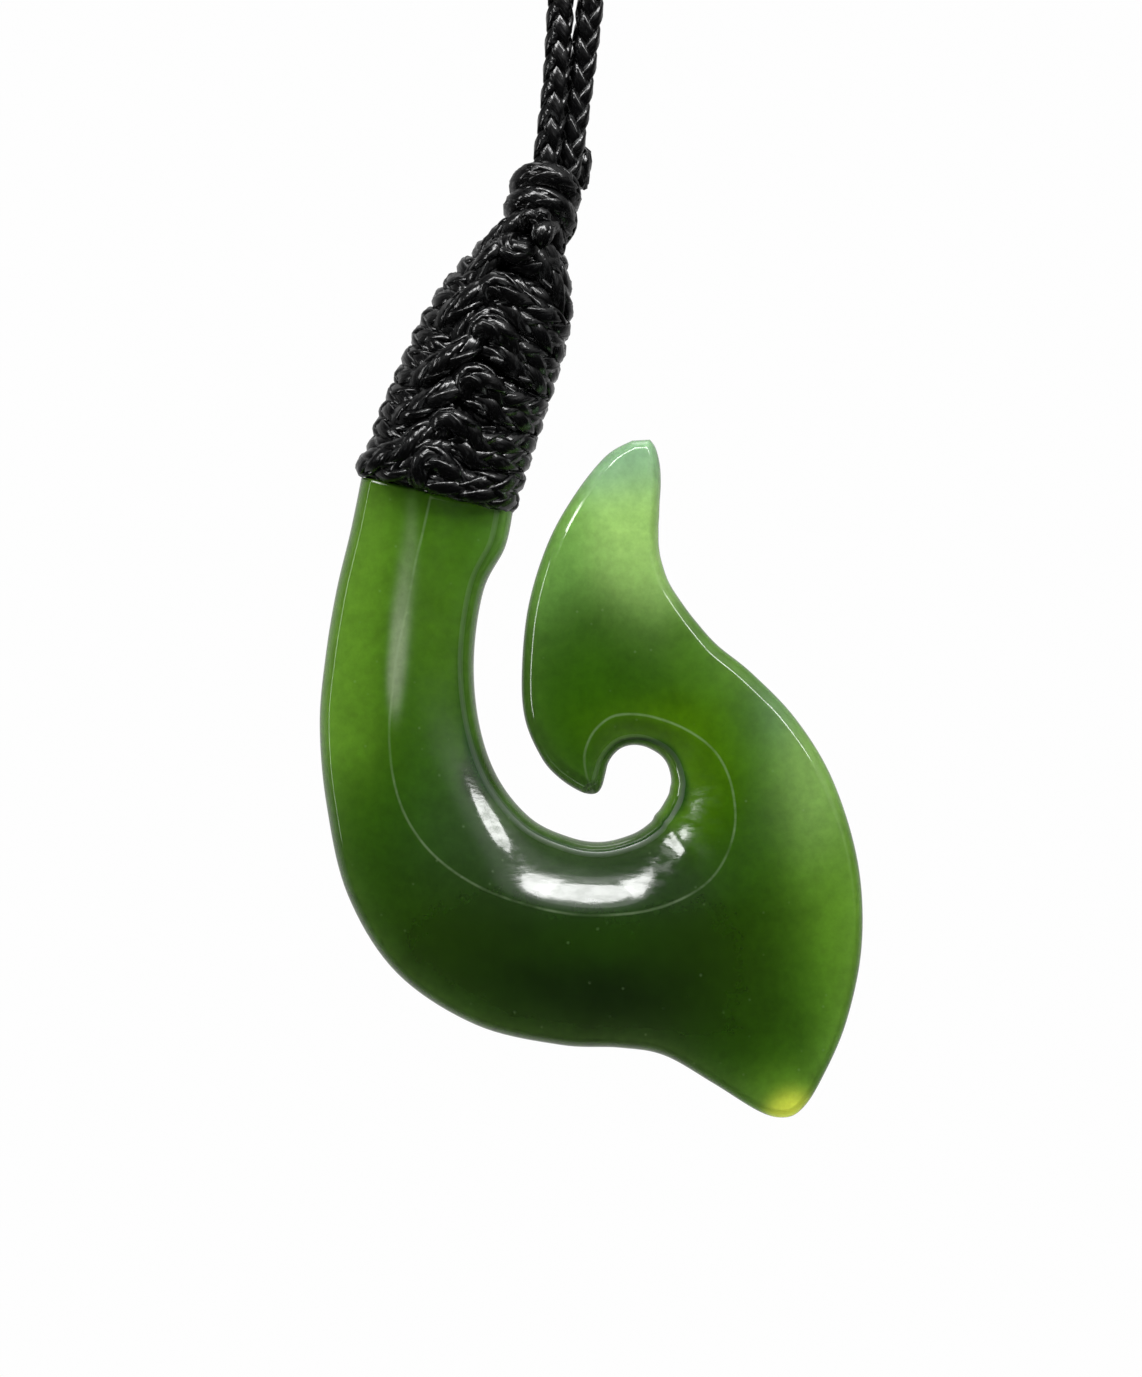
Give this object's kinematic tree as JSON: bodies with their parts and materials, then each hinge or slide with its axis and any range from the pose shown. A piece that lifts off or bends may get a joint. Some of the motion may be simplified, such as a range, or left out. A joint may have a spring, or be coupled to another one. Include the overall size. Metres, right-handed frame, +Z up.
{
  "type": "fish hook pendant",
  "caption": "Carved translucent green stone fish hook with an upswept barb, its shank lashed in black cord, on a plain cord neck loop.",
  "frame": {"origin": "underside of the neck loop at its crown, where it rests on a neck, peg or hook", "axes": "+Z up through the crown, +X to the right of the pendant's front, the carved front faces -Y"},
  "size_m": [0.04, 0.0086, 0.3703],
  "materials": {
    "stone": "polished translucent green stone",
    "binding_cord": "waxed braided cord",
    "knot_cord": "waxed braided cord",
    "neck_cord": "waxed braided cord"
  },
  "bodies": {
    "root": {"stone_hook": "stone", "shank_binding": "binding_cord", "knot_turns": "knot_cord", "cord_tail": "knot_cord", "neck_cord": "neck_cord"}
  },
  "joints": []
}
